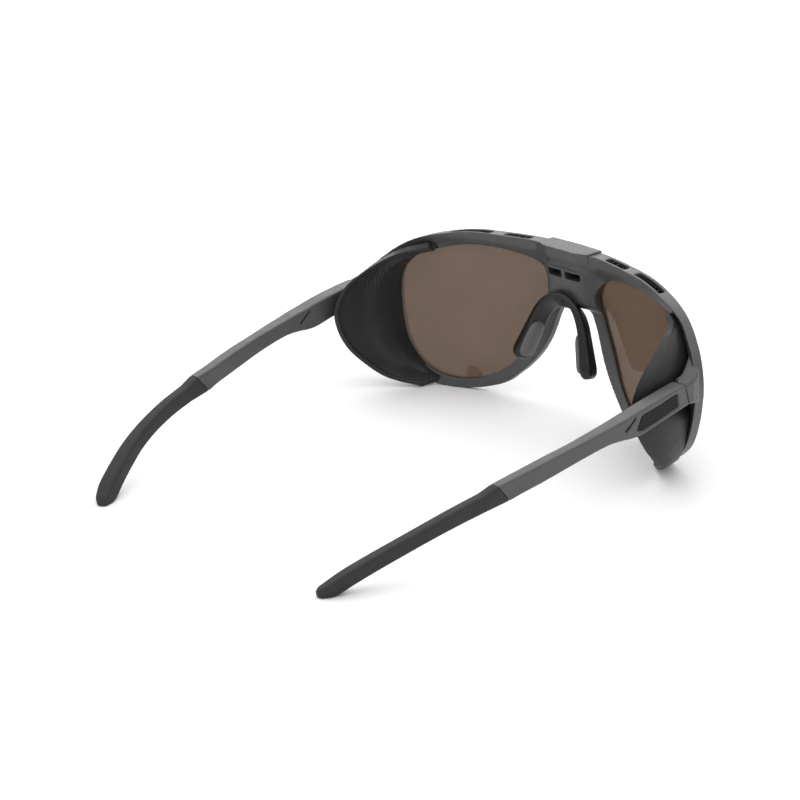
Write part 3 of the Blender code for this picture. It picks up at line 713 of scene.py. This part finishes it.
def side_shield(side_name, side, material):
    """A flexible sheet with ribs at its front corners and a rounded bead along its free edge."""
    curves = shield_columns(12, 14)
    rows, columns = len(curves[0][0]), len(curves)
    bm = bmesh.new()
    inner, outer = (shield_layer(bm, curves, layer, away) for layer, away in ((0, -1), (1, 1)))
    for verts in (inner, outer):
        for r in range(rows - 1):
            for c in range(columns - 1):
                bm.faces.new((verts[r][c], verts[r][c + 1], verts[r + 1][c + 1], verts[r + 1][c]))
    border = [(0, c) for c in range(columns)] + [(r, columns - 1) for r in range(1, rows)]
    border += [(rows - 1, c) for c in range(columns - 2, -1, -1)] + [(r, 0) for r in range(rows - 2, 0, -1)]
    for (r0, c0), (r1, c1) in zip(border, border[1:] + border[:1]):
        bm.faces.new((inner[r0][c0], inner[r1][c1], outer[r1][c1], outer[r0][c0]))
    name = f"side_shield_{side_name}"
    shield = piece(f"{name}_sheet", bm, material, None, (name,), side, sharp=50)
    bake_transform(shield)


def temple_ring(station, lean_x, lean_z, radius):
    """A rounded rectangle round the temple at a station, tilted by the leans."""
    y, x, z, width, height = station
    w, h = width / 2, height / 2
    ring = rounded([(w, h), (w, -h), (-w, -h), (-w, h)], min(radius, w * 0.95, h * 0.95))
    return [(x + p.x, y + lean_x * p.x + lean_z * p.y, z + p.y) for p in ring]


def run_rings(stations, radius, per_span=4):
    """Rings square to the temple's run along smooth stations."""
    stations = stations_through(stations, per_span)
    rings = []
    for i, station in enumerate(stations):
        before, after = stations[max(i - 1, 0)], stations[min(i + 1, len(stations) - 1)]
        run = after[0] - before[0]
        lean_x, lean_z = -(after[1] - before[1]) / run, -(after[2] - before[2]) / run
        rings.append(temple_ring(station, lean_x, lean_z, radius))
    return rings


def temple_arm(side_name, side, plastic, black):
    """A rigid temple with its hinge knuckle, and the plain plate in its recess."""
    body_name = f"temple_{side_name}"
    start = (SEAM_MID[0] + SEAM_HALF_GAP, 67.9, 32.4, 4.9, 6.8)
    first = [(x, seam_y(z) + SEAM_HALF_GAP, z) for x, _, z in temple_ring(start, 0, 0, ARM_EDGE_RADIUS)]
    last = temple_ring(SLEEVE_SEAM, 0, SEAM_LEAN, ARM_EDGE_RADIUS)
    outer = ARM_STATIONS[1][1] + ARM_STATIONS[1][3] / 2
    swept = KNUCKLE_RADIUS + KNUCKLE_RELIEF
    arm = carve(
        loft([first, *run_rings(ARM_STATIONS, ARM_EDGE_RADIUS), last]),
        ("DIFFERENCE", cylinder(HINGE_X, HINGE_Y, (26.0, KNUCKLE_Z[0]), swept)),
        ("DIFFERENCE", cylinder(HINGE_X, HINGE_Y, (KNUCKLE_Z[1], EAR_Z[1] + 0.3), swept)),
        ("UNION", cylinder(HINGE_X, HINGE_Y, KNUCKLE_Z, KNUCKLE_RADIUS)),
        ("DIFFERENCE", cylinder(HINGE_X, HINGE_Y, BORE_Z, BORE_RADIUS)),
        ("DIFFERENCE", plate(EMBLEM, (outer - EMBLEM_DEPTH, outer + 4))),
        ("DIFFERENCE", plate(SLIT, SLIT_X)),
    )
    name = f"temple_arm_{side_name}"
    arm = softened(arm, *ARM_SOFTNESS)
    piece(f"{name}_shell", arm, plastic, body_name, (name,), side)
    low = outer - EMBLEM_DEPTH - EMBLEM_SINK
    inlay = plate(grown(EMBLEM, -EMBLEM_GAP), (low, low + EMBLEM_THICKNESS + EMBLEM_SINK))
    name = f"emblem_plate_{side_name}"
    inlay = softened(inlay, *EMBLEM_SOFTNESS)
    piece(f"{name}_inlay", inlay, black, body_name, (name,), side)


def temple_tip(side_name, side, material):
    """The rubber sleeve over the temple's rear half, cut level where it stands on the ground."""
    y, *rest = SLEEVE_SEAM
    first = temple_ring((y + TIP_GAP, *rest), 0, SEAM_LEAN, TIP_END_RADIUS)
    rings = [first, *run_rings(SLEEVE_STATIONS, TIP_EDGE_RADIUS)]
    floor = box((30, 130, -8), (60, 160, 0))
    level = STANDING.inverted() @ Matrix.Translation((0, -LENGTH_TO_CENTRE, 0))
    bmesh.ops.transform(floor, matrix=level, verts=floor.verts)
    body = softened(carve(loft(rings), ("DIFFERENCE", floor)), *TIP_SOFTNESS)
    name = f"temple_tip_{side_name}"
    piece(f"{name}_sleeve", body, material, f"temple_{side_name}", (name,), side)


# ---------------------------------------------------------------- materials


def moulded(
    name, color, roughness, grain=0.35, grain_size=0.35, mottle=0.06, wear=0.1, metallic=0.0, gloss=0.5,
    uneven=0.05,
):
    """Moulded plastic or rubber: fine grain, faint mottling and slightly polished, lighter edges."""
    material = bpy.data.materials.new(name)
    material.use_nodes = True
    nodes, links = material.node_tree.nodes, material.node_tree.links
    shader = nodes["Principled BSDF"]
    shader.inputs["Metallic"].default_value = metallic
    shader.inputs["Specular IOR Level"].default_value = gloss
    place = nodes.new("ShaderNodeTexCoord")

    def noise(size_mm, detail):
        texture = nodes.new("ShaderNodeTexNoise")
        texture.inputs["Scale"].default_value = 1 / (size_mm * MM)
        texture.inputs["Detail"].default_value = detail
        links.new(place.outputs["Object"], texture.inputs["Vector"])
        return texture.outputs["Fac"]

    def ramp(source, low, high, stops=(0.3, 0.7)):
        mapped = nodes.new("ShaderNodeMapRange")
        mapped.inputs["From Min"].default_value = stops[0]
        mapped.inputs["From Max"].default_value = stops[1]
        mapped.inputs["To Min"].default_value = low
        mapped.inputs["To Max"].default_value = high
        links.new(source, mapped.inputs["Value"])
        return mapped.outputs["Result"]

    def mixed(share, one, two):
        mix = nodes.new("ShaderNodeMix")
        mix.data_type = "RGBA"
        links.new(share, mix.inputs["Factor"])
        for socket, value in ((mix.inputs[6], one), (mix.inputs[7], two)):
            if isinstance(value, tuple):
                socket.default_value = (*value, 1.0)
            else:
                links.new(value, socket)
        return mix.outputs[2]

    darker = tuple(c * (1 - mottle) for c in color)
    lighter = tuple(c * (1 + mottle) for c in color)
    base = mixed(ramp(noise(9.0, 3.0), 0.0, 1.0), darker, lighter)
    geometry = nodes.new("ShaderNodeNewGeometry")
    edges = ramp(geometry.outputs["Pointiness"], 0.0, wear, (0.52, 0.6))
    worn = tuple(min(c * 1.9 + 0.02, 1.0) for c in color)
    links.new(mixed(edges, base, worn), shader.inputs["Base Color"])
    fine = noise(grain_size, 2.0)
    links.new(ramp(noise(3.0, 4.0), roughness - uneven, roughness + uneven), shader.inputs["Roughness"])
    bump = nodes.new("ShaderNodeBump")
    bump.inputs["Strength"].default_value = grain
    bump.inputs["Distance"].default_value = 0.03 * MM
    links.new(fine, bump.inputs["Height"])
    links.new(bump.outputs["Normal"], shader.inputs["Normal"])
    return material


def tinted_lens():
    """Brown polycarbonate that is partly see-through, and almost even in roughness."""
    material = moulded(
        "brown lens", (0.178, 0.12, 0.086), 0.03, grain=0.0, mottle=0.05, wear=0.0, gloss=0.4, uneven=0.01
    )
    shader = material.node_tree.nodes["Principled BSDF"]
    shader.inputs["Transmission Weight"].default_value = 0.55
    shader.inputs["IOR"].default_value = 1.4
    return material


def softbox(name, azimuth, elevation, distance, size, power):
    """A wide area light that faces the glasses. Azimuth 0 is behind the tips and 90 at the wearer's left."""
    light = bpy.data.lights.new(name, "AREA")
    light.shape = "RECTANGLE"
    light.size, light.size_y = size
    light.energy = power
    lamp = bpy.data.objects.new(name, light)
    bpy.context.scene.collection.objects.link(lamp)
    a, e = math.radians(azimuth), math.radians(elevation)
    away = Vector((math.sin(a) * math.cos(e), math.cos(a) * math.cos(e), math.sin(e)))
    lamp.location = away * distance
    lamp.rotation_euler = away.to_track_quat("Z", "Y").to_euler()


def studio():
    """A pale sky that brightens overhead, a white floor, and a softbox before the wearer's left side."""
    scene = bpy.context.scene
    scene.view_settings.view_transform = "Standard"
    world = bpy.data.worlds.new("studio")
    scene.world = world
    world.use_nodes = True
    nodes, links = world.node_tree.nodes, world.node_tree.links
    place = nodes.new("ShaderNodeTexCoord")
    split = nodes.new("ShaderNodeSeparateXYZ")
    links.new(place.outputs["Generated"], split.inputs[0])
    strength = nodes.new("ShaderNodeMapRange")
    strength.inputs["From Min"].default_value = 0.0
    strength.inputs["From Max"].default_value = 1.0
    strength.inputs["To Min"].default_value = SKY_LOW
    strength.inputs["To Max"].default_value = SKY_HIGH
    links.new(split.outputs["Z"], strength.inputs["Value"])
    links.new(strength.outputs["Result"], nodes["Background"].inputs["Strength"])
    nodes["Background"].inputs["Color"].default_value = (1, 1, 1, 1)
    bm = bmesh.new()
    bmesh.ops.create_grid(bm, x_segments=1, y_segments=1, size=FLOOR_HALF_SIZE)
    mesh = bpy.data.meshes.new("floor")
    bm.to_mesh(mesh)
    bm.free()
    floor = bpy.data.objects.new("floor", mesh)
    scene.collection.objects.link(floor)
    floor.location.z = -FLOOR_DROP
    white = moulded("white floor", (0.95, 0.95, 0.95), 0.9, grain=0.0, mottle=0.0, wear=0.0, gloss=0.1)
    mesh.materials.append(white)
    softbox(
        "front softbox", SOFTBOX_AZIMUTH, SOFTBOX_ELEVATION, SOFTBOX_DISTANCE, SOFTBOX_SIZE, SOFTBOX_POWER
    )


def add_camera():
    """The main view, from behind and above the wearer's right."""
    data = bpy.data.cameras.new("camera")
    data.lens = CAMERA_LENS
    data.sensor_width = CAMERA_SENSOR
    data.clip_start = 0.01
    camera = bpy.data.objects.new("camera", data)
    bpy.context.scene.collection.objects.link(camera)
    a, e = math.radians(CAMERA_AZIMUTH), math.radians(CAMERA_ELEVATION)
    back = Vector((math.sin(a) * math.cos(e), -math.cos(a) * math.cos(e), math.sin(e)))
    turn = STANDING.to_3x3() @ back.to_track_quat("Z", "Y").to_matrix()
    camera.matrix_world = Matrix.Translation(ROW @ Vector(CAMERA_PLACE)) @ turn.to_4x4()
    bpy.context.scene.camera = camera


def repaint(nodes, material):
    """Carried-over frame nodes take a finished material."""
    for name in nodes:
        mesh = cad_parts[name].data
        mesh.materials.clear()
        mesh.materials.append(material)


def build():
    plastic = moulded("matte charcoal plastic", (0.056, 0.056, 0.057), 0.4)
    rubber = moulded("temple tip rubber", (0.022, 0.022, 0.023), 0.6, grain=0.5, grain_size=0.5, gloss=0.3)
    shield = moulded("side shield rubber", (0.016, 0.016, 0.0165), 0.45, grain=0.3, gloss=0.35)
    saddle = moulded("black saddle rubber", (0.009, 0.009, 0.009), 0.32, grain=0.15, gloss=0.35)
    pad = moulded("grey pad rubber", (0.088, 0.092, 0.088), 0.6, grain=0.4)
    emblem = moulded("black emblem", (0.006, 0.006, 0.007), 0.3, grain=0.1, gloss=0.12)
    vents = moulded("black vent plastic", (0.008, 0.008, 0.008), 0.6, gloss=0.2)
    steel = moulded("brushed steel", (0.55, 0.55, 0.56), 0.3, grain=0.2, metallic=1.0)
    bumper = moulded("brow cap", (0.056, 0.056, 0.057), 0.42)
    glass = tinted_lens()
    front_frame(plastic)
    brow_bumper(bumper)
    nose_saddle(saddle)
    for side_name, side in SIDES:
        lens(side_name, side, glass)
        nose_pad(side_name, side, pad)
        side_shield(side_name, side, shield)
        temple_arm(side_name, side, plastic, emblem)
        temple_tip(side_name, side, rubber)
        repaint((f"hinge_screw_{side_name}", f"temple_core_{side_name}"), steel)
        vent_lattice("inner", INNER_VENT, side_name, side, vents)
        vent_lattice("outer", OUTER_VENT, side_name, side, vents)


add_camera()
studio()
build()
